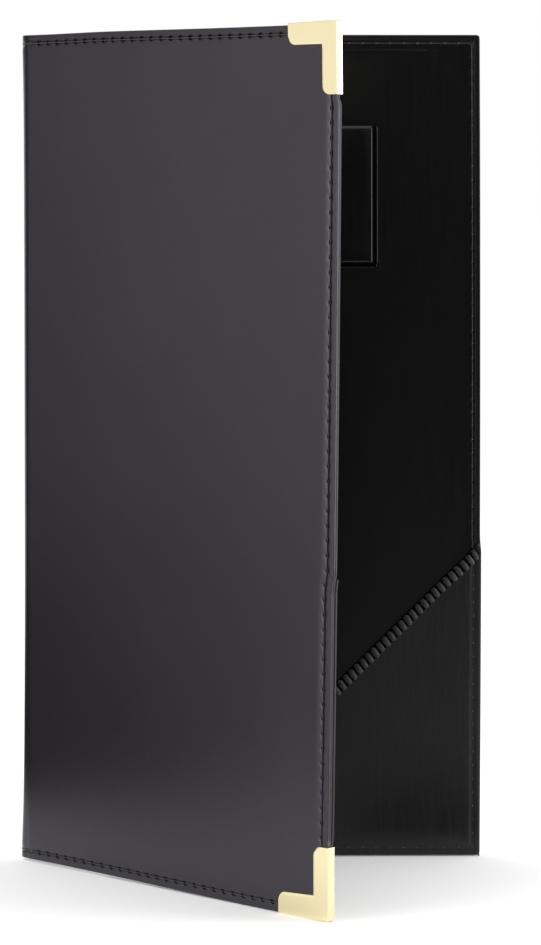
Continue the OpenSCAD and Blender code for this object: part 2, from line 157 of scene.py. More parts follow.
def bent(co, side, pinched=True):
    """A point (along the cover, out of its face, up) of the flat sheet, in the row frame in mm."""
    s, y, z = co
    if side == "front" and pinched:
        for end, shift in PINCH_SHIFT.items():
            held = under_metal(s, z, end)
            y *= 1 - PINCH * held
            s += shift * held * smooth(s, COVER_W - 8, COVER_W - 1)
    y += settle(s, z)
    z, s = z + lifted(s, z, side), s + fore_edge(max(s, 0), z, side)
    along, turn, out = max(s, 0.0), max(-s, 0.0) / SPINE_R, SPINE_R + y
    flare = math.exp(-z / FLARE_REACH) + HEAD_FLARE * math.exp((z - COVER_H) / FLARE_REACH) + MIDDLE_FLARE
    flare += LOW_FLARE * max(0, 1 - z / LOW_FLARE_REACH) ** 2
    out += SPINE_FLARE * flare * smooth(turn, 0.15, 0.8)
    x, y = along * math.cos(turn) - out * math.sin(turn), out * math.cos(turn) + along * math.sin(turn)
    if side == "front":
        angle = OPEN + FRONT_TWIST * (UNTWISTED - z / COVER_H) * smooth(-turn, -SPINE_TURN / 2, -0.2)
        x, y = x * math.cos(angle) - y * math.sin(angle), -x * math.sin(angle) - y * math.cos(angle)
    return Vector((x + AXIS_X, y + AXIS_Y, z + FOOT))


def bend_closed(bm, side):
    """Bends closed parts, and points their faces outwards, for which their normals have to be up to date."""
    for v in bm.verts:
        v.co = bent(v.co, side) / 1000
    bm.normal_update()
    bmesh.ops.recalc_face_normals(bm, faces=bm.faces)


def bend(bm, side, pinched=True):
    """Bends a flat sheet round the spine's axis, in metres; the front cover is the mirror of the back one."""
    for v in bm.verts:
        v.co = bent(v.co, side, pinched) / 1000
    if side == "front":
        bmesh.ops.reverse_faces(bm, faces=bm.faces)


# ---------------------------------------------------------------- small mesh tools
def grid(columns, rows, place):
    """A grid whose vertices are laid where place(column, row) says."""
    bm = bmesh.new()
    bmesh.ops.create_grid(bm, x_segments=columns - 1, y_segments=rows - 1, size=1)
    for k, v in enumerate(bm.verts):
        v.co = place(k % columns, k // columns)
    return bm


def face_towards(bm, direction):
    """Turns a sheet's faces so that they look towards direction on the whole."""
    if sum((f.normal.dot(direction) * f.calc_area() for f in bm.faces), 0.0) < 0:
        bmesh.ops.reverse_faces(bm, faces=bm.faces)


def add_to(bm, part, place=None):
    """Adds a finished small part to bm, each point put through place."""
    count = len(bm.verts)
    bm.from_mesh(part)
    if place:
        bm.verts.ensure_lookup_table()
        for v in bm.verts[count:]:
            v.co = place(v.co)


def mesh_of(bm, name="part"):
    mesh = bpy.data.meshes.new(name)
    bm.to_mesh(mesh)
    bm.free()
    return mesh


def piece(name, bm, material, nodes, thick=0.0, smooth_faces=True):
    """Makes the object; thick is the sheet's thickness in mm, added behind its face."""
    bm.normal_update()
    mesh = mesh_of(bm, name)
    if smooth_faces:
        mesh.shade_smooth()
    mesh.materials.append(material)
    obj = bpy.data.objects.new(name, mesh)
    bpy.context.scene.collection.objects.link(obj)
    if thick:
        wall = obj.modifiers.new("sheet", "SOLIDIFY")
        wall.thickness, wall.offset = thick / 1000, -1
    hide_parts(*nodes)
    return obj


def swept(stops, sides, lobes=None):
    """A closed cord through stops, each (centre, half width across, half height, slope); it runs along x."""
    bm = bmesh.new()
    bmesh.ops.create_circle(bm, segments=sides, radius=1.0, cap_ends=False)
    ring = list(bm.verts)
    if lobes:
        for v in ring:
            v.co *= lobes(math.atan2(v.co.y, v.co.x))
    shape = [v.co.copy() for v in ring]
    edges = start_rim = list(bm.edges)

    def put(verts, stop):
        centre, across, tall, slope = stop
        for v, c in zip(verts, shape):
            up = c.y * tall
            x, y = centre[0] - up * math.sin(slope), centre[1] + up * math.cos(slope)
            v.co = Vector((x, y, centre[2] + c.x * across))

    put(ring, stops[0])
    for stop in stops[1:]:
        made = bmesh.ops.extrude_edge_only(bm, edges=edges)["geom"]
        fresh = [g for g in made if isinstance(g, bmesh.types.BMVert)]
        edges = [g for g in made if isinstance(g, bmesh.types.BMEdge) and all(v in fresh for v in g.verts)]
        bm.verts.index_update()
        ring = fresh
        put(ring, stop)
    for rim in (start_rim, edges):
        bmesh.ops.holes_fill(bm, edges=rim, sides=0)
    bmesh.ops.recalc_face_normals(bm, faces=bm.faces)
    return mesh_of(bm)


# ---------------------------------------------------------------- the seam's needle holes
def divided(a, b, pitch):
    """Even steps from a to b, of about pitch."""
    count = int((b - a) / pitch)
    return [a + (b - a) * k / count for k in range(count + 1)]


SEAM_X, SEAM_TOP = COVER_W - SEAM, COVER_H - SEAM
ROW_HOLES = [-HALF_SPINE, -HALF_SPINE / 2] + divided(0, SEAM_X, STITCH_PITCH)
FORE_HOLES = divided(SEAM, SEAM_TOP, STITCH_PITCH)
HOLE_STEPS = (0.25, 0.55, 0.95, 1.5)


def stations_between(holes):
    """Places along a seam, close together at each needle hole."""
    out = []
    for a, b in zip(holes, holes[1:]):
        out += [a] + [a + d for d in HOLE_STEPS] + [(a + b) / 2] + [b - d for d in reversed(HOLE_STEPS)]
    return out + [holes[-1]]


CORNER_TURNS = (15, 35, 55, 75)
CORNER_SPAN = 12.0


def inner_turn(inset):
    """Centre of a path's corner, and its radius: the path turns sharper the further in it runs."""
    centre = max(CORNER_R, inset) + 0.25
    return centre, centre - inset


def squeezed(p, end, inset):
    """Near a corner a station of the seam moves with the corner of its own path."""
    reach = CORNER_SPAN - inner_turn(inset)[0]
    whole = CORNER_SPAN - inner_turn(SEAM)[0]
    back = end - CORNER_SPAN
    return p if p <= back else back + (p - back) * reach / whole


def edge_stations(row_from=-HALF_SPINE):
    """Stations along the three free edges of a cover: foot, corner, fore edge, corner, head."""
    last = inner_turn(SEAM)[0]
    row = [s for s in stations_between(ROW_HOLES) if row_from - 1e-6 <= s <= COVER_W - last]
    fore = [z for z in stations_between(FORE_HOLES) if last < z < COVER_H - last]
    return ([("foot", s) for s in row] + [("low corner", a) for a in CORNER_TURNS]
            + [("fore", z) for z in fore] + [("high corner", a) for a in CORNER_TURNS]
            + [("head", s) for s in reversed(row)])


def on_path(station, inset):
    """Where a station lies on the path that runs inset from the edge, along the cover and up."""
    kind, p = station
    centre, radius = inner_turn(inset)
    if kind in ("foot", "head"):
        s = squeezed(p, COVER_W, inset)
        return s, inset if kind == "foot" else COVER_H - inset
    if kind == "fore":
        half = COVER_H / 2
        z = half + math.copysign(squeezed(abs(p - half), half, inset), p - half)
        return COVER_W - inset, z
    a = math.radians(p)
    if kind == "low corner":
        return COVER_W - centre + radius * math.sin(a), centre - radius * math.cos(a)
    return COVER_W - centre + radius * math.cos(a), COVER_H - centre + radius * math.sin(a)


def hole_gap(s, z):
    """Distance along the seam from a place on it to the nearest needle hole."""
    on_row = min(z - SEAM, SEAM_TOP - z) < SEAM_X - s
    return min(abs(h - s) for h in ROW_HOLES) if on_row else min(abs(h - z) for h in FORE_HOLES)


def pulled(station, inset, strength=1.0):
    """How deep the thread has pulled a sheet in, at a station and a distance from the edge."""
    gap = hole_gap(*on_path(station, SEAM))
    off = inset - SEAM
    groove = SEAM_GROOVE * math.exp(-(off / SEAM_GROOVE_HALF) ** 2)
    hole = SEAM_HOLE * math.exp(-(gap / HOLE_HALF_LONG) ** 2 - (off / HOLE_HALF_WIDE) ** 2)
    margin = MARGIN_FALL * (1 - smooth(inset, 3.5, 4.5)) + MARGIN_ROLL * max(0, 1 - inset / 2.2) ** 2
    wrinkle = 0.03 * noise.noise(Vector((station[1] / 1.1, inset / 0.8, 4.4))) * (1 - smooth(inset, 3.0, 4.5))
    return strength * (groove + hole + margin + wrinkle)


# ---------------------------------------------------------------- sheets of the covers
# Sections of a sheet: (distance from the edge, depth below the outer face)
SEAM_ROWS = (5.0, 4.2, 3.7, 3.35, 3.1, 2.92, 2.76, 2.6, 2.44, 2.28, 2.1, 1.85, 1.55)
LEATHER_EDGE = ((1.2, 0.01), (0.8, 0.015), (0.5, 0.02), (0.28, 0.03), (0.13, 0.06), (0.04, 0.14), (0.0, 0.28),
                (0.0, 0.7), (0.01, 1.0), (0.06, 1.07), (0.06, 1.12), (0.01, 1.2), (-0.02, 1.34), (0.0, 1.5),
                (0.05, 1.7), (0.18, 1.88), (0.4, 1.97), (0.75, 2.0), (1.3, 2.0), (1.9, 2.0), (3.2, 2.0),
                (5.5, 2.0), (8.0, 2.0))
LINING_EDGE = ((1.75, 2.38), (1.64, 2.3), (1.62, 2.1))
MIDDLE_INSET = 1.2         # the coarse middle of a sheet starts this far inside its fine band
MIDDLE_ROWS = 62


def webbed(depth, s):
    """Depth of an inner face, which drops to the web over the gutter."""
    if depth <= LEATHER_T:
        return depth
    spare = (1 - smooth(s, 0.4, GUTTER + 0.4)) * (LINING_DEEP - WEB_T)
    return max(depth - spare, LEATHER_T + (depth - LEATHER_T) * 0.2)


def panel_columns(first, last, inset):
    """Columns of a cover's middle: close round the spine, then wide apart."""
    wide = int((COVER_W - inset - 4) / 4)
    arc = [first - first * k / 20 for k in range(20)]
    gutter = [0, 0.7, 1.3, 1.9, 2.5, 3.1, 3.8]
    return arc + gutter + [4.6 + (last - 4.6) * k / wide for k in range(wide + 1)]


def cover_sheet(section, face_depth, towards, strength):
    """One sheet of a cover, still flat: a fine band along its free edges, joined to a coarse middle."""
    stations = edge_stations()
    inset = section[0][0]

    def place(i, j):
        w, depth = section[j]
        s, z = on_path(stations[i], w)
        on_face = abs(depth - face_depth) < 0.02 or w > 1 and depth < 0.05
        if on_face:
            depth += pulled(stations[i], w, strength)
        elif face_depth == 0 and depth < 1:
            depth += EDGE_FALL * (1 - depth)
        elif depth > BORDER_DEEP - 0.05 and face_depth == 0:
            depth -= pulled(stations[i], w, 0.5) if w < 4 else 0
        return Vector((s, -webbed(depth, s), z))

    bm = grid(len(stations), len(section), place)
    # Painted shade in each needle hole: this attribute is 1 at the hole's middle and falls to 0 beside it
    hole = bm.verts.layers.float.new("needle_hole_shade")
    for k, v in enumerate(bm.verts):
        w, depth = section[k // len(stations)]
        if w > 1 and depth < 0.05:
            gap = hole_gap(*on_path(stations[k % len(stations)], SEAM))
            v[hole] = math.exp(-(gap / HOLE_SHADE_HALF_LONG) ** 4 - ((w - SEAM) / HOLE_SHADE_HALF_WIDE) ** 4)
    inner_edge = [e for e in bm.edges if e.is_boundary and all(v.index < len(stations) for v in e.verts)]
    margin = inset + MIDDLE_INSET
    columns = panel_columns(-HALF_SPINE, COVER_W - margin, inset)
    heights = [margin + (COVER_H - 2 * margin) * k / MIDDLE_ROWS for k in range(MIDDLE_ROWS + 1)]

    def lay(i, j):
        return Vector((columns[i], -webbed(face_depth, columns[i]), heights[j]))

    before = set(bm.edges)
    add_to(bm, mesh_of(grid(len(columns), len(heights), lay)))
    rim = [e for e in bm.edges if e not in before and e.is_boundary
           and not all(abs(v.co.x + HALF_SPINE) < 1e-6 for v in e.verts)]
    ends = {v for e in rim for v in e.verts if abs(v.co.x + HALF_SPINE) < 1e-6}
    band_ends = {v for e in inner_edge for v in e.verts if abs(v.co.x + HALF_SPINE) < 1e-4}
    links = []
    for v in ends:
        mate = min(band_ends, key=lambda b: abs(b.co.z - v.co.z))
        links.append(bm.edges.new((v, mate)))
    bmesh.ops.triangle_fill(bm, use_beauty=True, use_dissolve=False, edges=inner_edge + rim + links)
    face_towards(bm, towards)
    bmesh.ops.recalc_face_normals(bm, faces=bm.faces)
    bm.normal_update()
    mid_panel = Vector((60, -face_depth, 120))
    probe = min(bm.faces, key=lambda f: (f.calc_center_median() - mid_panel).length)
    if probe.normal.dot(towards) < 0:
        bmesh.ops.reverse_faces(bm, faces=bm.faces)
    return bm


OUT, IN = Vector((0, 1, 0)), Vector((0, -1, 0))


def leather_sheet(side):
    """The leatherette, rolled over the board's edges and turned in."""
    section = [(w, 0.0) for w in SEAM_ROWS] + list(LEATHER_EDGE)
    bm = cover_sheet(section, 0.0, OUT, 1.0)
    hole = bm.verts.layers.float["needle_hole_shade"]
    # Faces in the middle of a needle hole get the near-black material, painted shade for the hole's depth
    for f in bm.faces:
        f.material_index = int(min(v[hole] for v in f.verts) > 0.3)
    bend(bm, side)
    return bm


def lining_sheet(side):
    """The lining, with its own edge just inside the turned-in border."""
    section = [(w, LINING_DEEP) for w in SEAM_ROWS if w > 1.8] + list(LINING_EDGE)
    bm = cover_sheet(section, LINING_DEEP, IN, -0.6)
    bend(bm, side)
    return bm


def card_layer(side, first, last, foot, outer, inner):
    """A layer of card between two depths, pressed thin along the seam; foot is how far inside the edges."""
    by_seam = (1.4, 2.0, 2.6, 3.2, 3.8)
    near = [foot] + [w for w in by_seam if w > foot]
    start = near[-1]
    columns = [first + (last - start + foot - first) * k / 16 for k in range(17)]
    columns += [last - w + foot for w in reversed(near[:-1])]
    half = near + [start + (COVER_H / 2 - start) * k / 14 for k in range(1, 15)]
    heights = half + [COVER_H - z for z in reversed(half[:-1])]

    def at(i, j, depth):
        s, z = columns[i], heights[j]
        w = min(COVER_W - s, z, COVER_H - z)
        middle = (outer + inner) / 2
        press = 0.85 * math.exp(-((w - SEAM) / 0.75) ** 4)
        return Vector((s, -(depth + (middle + 0.2 - depth) * press), z))

    bm = grid(len(columns), len(heights), lambda i, j: at(i, j, outer))
    add_to(bm, mesh_of(grid(len(columns), len(heights), lambda i, j: at(i, j, inner))))
    bmesh.ops.bridge_loops(bm, edges=[e for e in bm.edges if e.is_boundary])
    bmesh.ops.recalc_face_normals(bm, faces=bm.faces)
    bend_closed(bm, side)
    return bm


# ---------------------------------------------------------------- sewing thread
KNOT_END = -0.4            # the knot is the part of an inner stitch before this
STITCH_GAP = 0.12          # neighbouring stitches end this far apart
NEEDLE_DEEP = 0.2          # the outer stitches lie this far below the face, in the seam's groove
BOBBIN_SINK, HEM_SINK = 0.06, 0.24   # the inner ones are sunk this much in the lining and the pocket sheet


def thread_stitch(outer):
    """One stitch, 1 mm long until stretched: it dives into two needle holes, or knots over one inside."""
    knotted = [((-0.56, -0.1, 0), 0.1, 0.1, 0), ((-0.55, 0.02, 0), 0.26, 0.2, 0),
               ((-0.51, 0.1, 0), 0.38, 0.26, 0), ((-0.46, 0.08, 0), 0.34, 0.24, 0),
               ((-0.41, -0.02, 0), 0.2, 0.16, 0), ((-0.2, -0.04, 0), 0.17, 0.14, 0),
               ((0.2, -0.04, 0), 0.17, 0.14, 0), ((0.44, -0.05, 0), 0.16, 0.12, 0),
               ((0.48, -0.12, 0), 0.08, 0.08, 0)]
    dived = [((-0.5, -0.8, 0), 0.1, 0.1, 1.2), ((-0.46, -0.5, 0), 0.14, 0.14, 0.8),
             ((-0.41, -0.16, 0), 0.19, 0.18, 0.4), ((-0.33, 0.0, 0), 0.22, 0.2, 0),
             ((-0.15, 0.04, 0), 0.22, 0.21, 0)]
    mirrored = [((-x, y, 0), a, b, -lean) for (x, y, _), a, b, lean in reversed(dived)]
    mesh = swept(dived + mirrored if outer else knotted, 7)
    # The knot gets the bobbin thread's lighter copy, a painted highlight where it stands up
    for face in mesh.polygons:
        face.material_index = int(not outer and face.center.x < KNOT_END)
    return mesh


def inside_mouth(s, z):
    """How far inside a bill pocket's slanting mouth a place lies."""
    return (1 - z / MOUTH_RISE - (COVER_W - s) / MOUTH_RUN) / math.hypot(1 / MOUTH_RISE, 1 / MOUTH_RUN)


def clear_of_metal(s, z):
    """Whether a place in the seam lies beside the metal corners, not under them."""
    foot, head = CORNER_REACH["foot"], CORNER_REACH["head"]
    row = foot["row"] if z < COVER_H / 2 else head["row"]
    return s < COVER_W - row + 1 or foot["fore"] - 1 < z < COVER_H - head["fore"] + 1


def stitch_runs(on_spine):
    """Every stitch of a cover's seam as two ends, each (along the cover, up)."""
    runs = []
    for a, b in zip(ROW_HOLES, ROW_HOLES[1:]):
        if (b <= -HALF_SPINE / 2 + 1e-6) == on_spine:
            runs += [((a, SEAM), (b, SEAM)), ((a, SEAM_TOP), (b, SEAM_TOP))]
    if not on_spine:
        runs += [((SEAM_X, a), (SEAM_X, b)) for a, b in zip(FORE_HOLES, FORE_HOLES[1:])]
    return runs


def seam_thread(side, outer, on_spine=False):
    """The thread of a cover's seam, outside or inside."""
    part, bm = thread_stitch(outer), bmesh.new()
    for a, b in stitch_runs(on_spine):
        middle = ((a[0] + b[0]) / 2, (a[1] + b[1]) / 2)
        if side == "front" and not clear_of_metal(*middle):
            continue
        mouth = inside_mouth(*middle)
        if outer:
            depth = NEEDLE_DEEP
        elif mouth > 0:
            depth = HEM_DEEP - HEM_SINK
        else:
            depth = LINING_DEEP - BOBBIN_SINK
        length = math.hypot(b[0] - a[0], b[1] - a[1]) - STITCH_GAP
        upright = abs(b[1] - a[1]) > 1
        turn = -1 if outer else 1

        def place(c, depth=depth, length=length, upright=upright, turn=turn, middle=middle):
            along, across = c.x * length, c.z
            level = webbed(depth, middle[0] if upright else middle[0] + along)
            y = -(level + turn * c.y)
            if upright:
                return Vector((middle[0] + across, y, middle[1] + along))
            return Vector((middle[0] + along, y, middle[1] + across))

        add_to(bm, part, place)
    bmesh.ops.recalc_face_normals(bm, faces=bm.faces)
    bend_closed(bm, side)
    return bm


# ---------------------------------------------------------------- bill pockets
MOUTH_LEN = math.hypot(MOUTH_RISE, MOUTH_RUN)
MOUTH_DOWN = Vector((-MOUTH_RUN, 0, -MOUTH_RISE)) / MOUTH_LEN     # along the mouth, from the fore edge down
MOUTH_IN = Vector((MOUTH_RISE, 0, -MOUTH_RUN)) / MOUTH_LEN        # square to it, into the pocket
MOUTH_TOP = Vector((COVER_W, 0, MOUTH_RISE))
POCKET_EDGE = 0.2               # the sheet stops this far inside the cover's edge
POCKET_STEP = 0.62              # size of its squares
EDGE_STEP = 0.08                # but the last ones are this narrow, so that the edge turns sharply
TURNED_EDGE = ((0.05, 2.5), (0.04, 2.25), (-0.04, 2.1), (-0.4, 2.06))   # (out past the edge, depth)
EDGE_LIFT, EDGE_PRESS = 0.22, 0.14   # the edge stands off the front border, and is pressed on the back one
PUFF = 0.16                     # the seam pulls the sheet in by this much, and it swells as much beside it
MOUTH_SHADE_OUT, MOUTH_SHADE_IN = 0.72, 2.5     # a strip of painted shade runs from this far past the mouth to the end of the turns
WHIP_PITCH, WHIP_LEAN = 2.39, math.radians(8)
WHIP_REACH = 2.8                # a turn reaches this far into the pocket
STRANDS, STRAND_RIDGE = 5, 0.13
TAIL_RUN = 5.4                  # the first turns run over the border to the cover's edge
TAIL_LEAN, TAIL_THIN = 0.12, 0.85


def pocket_sheet(side):
    """The bill pocket: flat and stitched down at its hems, standing off the lining inside them."""
    across, up = int(MOUTH_RUN / POCKET_STEP), int(MOUTH_RISE / POCKET_STEP)
    fold = COVER_W - POCKET_EDGE

    def place(i, j):
        s = fold - (MOUTH_RUN - POCKET_EDGE) * (1 - i / across) if i != across - 1 else fold - EDGE_STEP
        z = POCKET_EDGE + (MOUTH_RISE - POCKET_EDGE) * j / up if j != 1 else POCKET_EDGE + EDGE_STEP
        return Vector((s, 0, z))

    bm = grid(across + 1, up + 1, place)
    for past, cut in ((MOUTH_SHADE_OUT, True), (0.0, False), (-MOUTH_SHADE_IN, False)):
        everything = bm.verts[:] + bm.edges[:] + bm.faces[:]
        bmesh.ops.bisect_plane(bm, geom=everything, plane_co=MOUTH_TOP - MOUTH_IN * past,
                               plane_no=-MOUTH_IN, clear_outer=cut)
    # The strip along the mouth gets the near-black material: painted shade under and between the whipstitch
    # turns
    for f in bm.faces:
        c = f.calc_center_median()
        f.material_index = int(inside_mouth(c.x, c.z) < MOUTH_SHADE_IN and c.x < COVER_W - SEAM)
    for v in bm.verts:
        s, z = v.co.x, v.co.z
        edge = min(COVER_W - s, z)
        gap = hole_gap(SEAM_X, z) if COVER_W - s < z else hole_gap(s, SEAM)
        rise = smooth(edge, 2.7, 7.5)
        depth = HEM_DEEP - 0.06 + rise * (POCKET_DEEP - HEM_DEEP + 0.1)
        outside_seam = 1 - smooth(edge, 0.9, 2.3)
        if side == "back":
            depth -= EDGE_PRESS * outside_seam
        elif clear_of_metal(s, z - 3):
            depth += EDGE_LIFT * outside_seam
        depth += 0.22 * smooth(edge, 2.7, 3.2) * (1 - 0.5 * rise)
        depth -= PUFF * math.exp(-((edge - SEAM) / 0.5) ** 2)                # the seam's groove
        by_hole = math.exp(-(gap / 1.0) ** 2)
        depth += PUFF * math.exp(-((edge - 4.3) / 1.5) ** 2) * (1 - 0.3 * by_hole)
        depth += 0.14 * noise.noise(Vector((s / 17, z / 24, 1.3))) * rise
        depth += 0.12 * math.exp(-max(inside_mouth(s, z), 0) / 6.0) * rise
        if inside_mouth(s, z) < -0.01:
            depth = LINING_DEEP + 0.3                                        # the lip past the mouth, just over the lining under the turns; it carries the painted shade
        if edge < POCKET_EDGE + 0.01:
            depth -= 0.1
        if side == "front":
            depth += (HEM_DEEP - 0.08 - depth) * under_metal(s, z, "foot")   # pressed flat by the metal
        v.co.y = -depth
    rim = [e for e in bm.edges if all(min(COVER_W - v.co.x, v.co.z) < POCKET_EDGE + 0.01 for v in e.verts)]
    for out, depth in TURNED_EDGE:
        made = bmesh.ops.extrude_edge_only(bm, edges=rim)["geom"]
        turned = [g for g in made if isinstance(g, bmesh.types.BMVert)]
        rim = [g for g in made if isinstance(g, bmesh.types.BMEdge) and all(v in turned for v in g.verts)]
        for v in turned:
            on_fore, on_row = COVER_W - v.co.x < v.co.z + 0.5, v.co.z < COVER_W - v.co.x + 0.5
            v.co = (fold + out if on_fore else v.co.x, -depth, POCKET_EDGE - out if on_row else v.co.z)
    bmesh.ops.recalc_face_normals(bm, faces=bm.faces)
    face_towards(bm, IN)
    bend(bm, side)
    return bm


def whip_rib():
    """One turn of thick floss thread over the mouth, x into the pocket, y up from the lining."""
    stops = [((2.78, 0.62, 0), 0.3, 0.16, -1.2), ((2.7, 0.92, 0), 0.5, 0.24, -0.9),
             ((2.42, 1.14, 0), 0.62, 0.3, -0.4), ((1.8, 1.24, 0), 0.7, 0.34, -0.05),
             ((1.05, 1.26, 0), 0.72, 0.35, 0), ((0.4, 1.2, 0), 0.71, 0.34, 0.2),
             ((-0.04, 1.0, 0), 0.68, 0.31, 0.7), ((-0.25, 0.72, 0), 0.64, 0.24, 1.4),
             ((-0.16, 0.46, 0), 0.6, 0.16, 2.4), ((0.5, 0.36, 0), 0.5, 0.1, 3.1)]
    return swept(stops, 14, lambda a: 1 + STRAND_RIDGE * math.cos(STRANDS * (a - math.pi / 2)))


def whip_row(side):
    """The whipstitch: leaning turns side by side from the fore edge to the foot."""
    part, bm = whip_rib(), bmesh.new()
    for k in range(int(MOUTH_LEN / WHIP_PITCH)):
        at = (k + 0.5) * WHIP_PITCH
        start = MOUTH_TOP + MOUTH_DOWN * (at + 0.1 * noise.noise(Vector((k * 1.7, 5.2, 0))))
        lean = WHIP_LEAN + 0.08 * noise.noise(Vector((k * 2.3, 0.4, 7)))
        fat = 1 + 0.1 * noise.noise(Vector((k * 3.1, 2.2, 1)))
        tail = at < TAIL_RUN
        if tail:
            lean, fat = lean + TAIL_LEAN, TAIL_THIN * fat
        inward = MOUTH_IN * math.cos(lean) + MOUTH_DOWN * math.sin(lean)
        across = MOUTH_DOWN * math.cos(lean) - MOUTH_IN * math.sin(lean)
        reach = start + inward * WHIP_REACH
        hidden = side == "front" and (tail or not clear_of_metal(reach.x - 1, reach.z))
        if min(start.z, reach.z) < 0.4 or hidden:
            continue

        def place(c, start=start, inward=inward, across=across, fat=fat):
            p = start + inward * c.x + across * (c.z * fat)
            p.x = min(p.x, COVER_W - 0.12)
            edge = min(COVER_W - p.x, p.z)
            sink = 0.4 * (1 - smooth(edge, 1.2, 4.5))
            p.y = -(LINING_DEEP + max(c.y * fat - sink, 0.03 + 0.02 * c.y))
            return p

        add_to(bm, part, place)
    bend_closed(bm, side)
    return bm


# ---------------------------------------------------------------- card pocket
CARD_W, CARD_H, CARD_Z, CARD_IN = 90.4, 43.8, 182.2, 31.7
# Section across a welded edge: (distance from the edge, height over the lining)
CARD_SECTION = ((0.0, 0.02), (0.03, 0.2), (0.12, 0.31), (0.24, 0.32), (0.34, 0.24), (0.42, 0.1), (0.6, 0.05),
                (1.0, 0.04), (1.5, 0.05), (1.64, 0.1), (1.68, 0.4), (1.7, 0.8), (1.76, 1.12), (1.9, 1.3),
                (2.15, 1.38), (2.6, 1.35), (3.4, 1.27))
WELD_FROM, WELD_TO = 0.42, 1.66             # the pressed channel, coloured near-black as painted shade
CARD_SIDE = CARD_SECTION[-1][0]
CARD_BELLY = 0.16
CARD_ROUND = 1.2                            # the corners are rounded within this


def card_sheet():
    """The card pocket: a vinyl panel whose side and foot edges roll down to a pressed weld and a bead."""
    left = COVER_W - CARD_IN - CARD_W
    flat_s = [CARD_SIDE + (CARD_W - 2 * CARD_SIDE) * k / 40 for k in range(1, 40)]
    columns = [w for w, _ in CARD_SECTION] + flat_s + [CARD_W - w for w, _ in reversed(CARD_SECTION)]
    rows = [w for w, _ in CARD_SECTION] + [CARD_SIDE + (CARD_H - CARD_SIDE) * k / 24 for k in range(1, 25)]

    def stand(w):
        """Height of the section at w from the edge."""
        for (w0, h0), (w1, h1) in zip(CARD_SECTION, CARD_SECTION[1:]):
            if w <= w1:
                return h0 + (h1 - h0) * (w - w0) / (w1 - w0)
        return CARD_SECTION[-1][1]

    def place(i, j):
        s, z = columns[i], rows[j]
        w = min(s, CARD_W - s, z)
        mouth = smooth(z, CARD_H - 7, CARD_H)
        belly = CARD_BELLY * smooth(w, 3, 20) * (1 - 0.5 * mouth)
        h = stand(w) + belly
        round_off = 0.0
        if z < CARD_ROUND and not CARD_ROUND <= s <= CARD_W - CARD_ROUND:
            round_off = 0.25 * (CARD_ROUND - max(w, 0))
        inward = 1 if s < CARD_W / 2 else -1
        return Vector((left + s + inward * round_off, -(LINING_DEEP + h), CARD_Z + z + round_off))

    bm = grid(len(columns), len(rows), place)
    # The pressed channel gets a near-black, unreflective material: painted shade in the groove
    for f in bm.faces:
        c = f.calc_center_median()
        w = min(c.x - left, left + CARD_W - c.x, c.z - CARD_Z)
        f.material_index = int(WELD_FROM < w < WELD_TO)
    face_towards(bm, IN)
    bm.normal_update()
    bend(bm, "back")
    return bm


# ---------------------------------------------------------------- metal corners
METAL_OUT = 0.2            # stands this far outside the cover
METAL_GAP = 0.14           # and this far off its inner face
METAL_T = 0.5
METAL_FOLD_R = 0.2
METAL_BEVEL = 0.23
FOLD_SIDE = 0.7            # the arms' ends are square from the fold to here, and round beyond
CORNER_TILT = math.radians(-1.4)   # the corners were pinched on a little askew, and not quite home
CORNER_SHIFT = {"head": (-0.35, 0, 0.75), "foot": (1.15, 0, 0.12)}


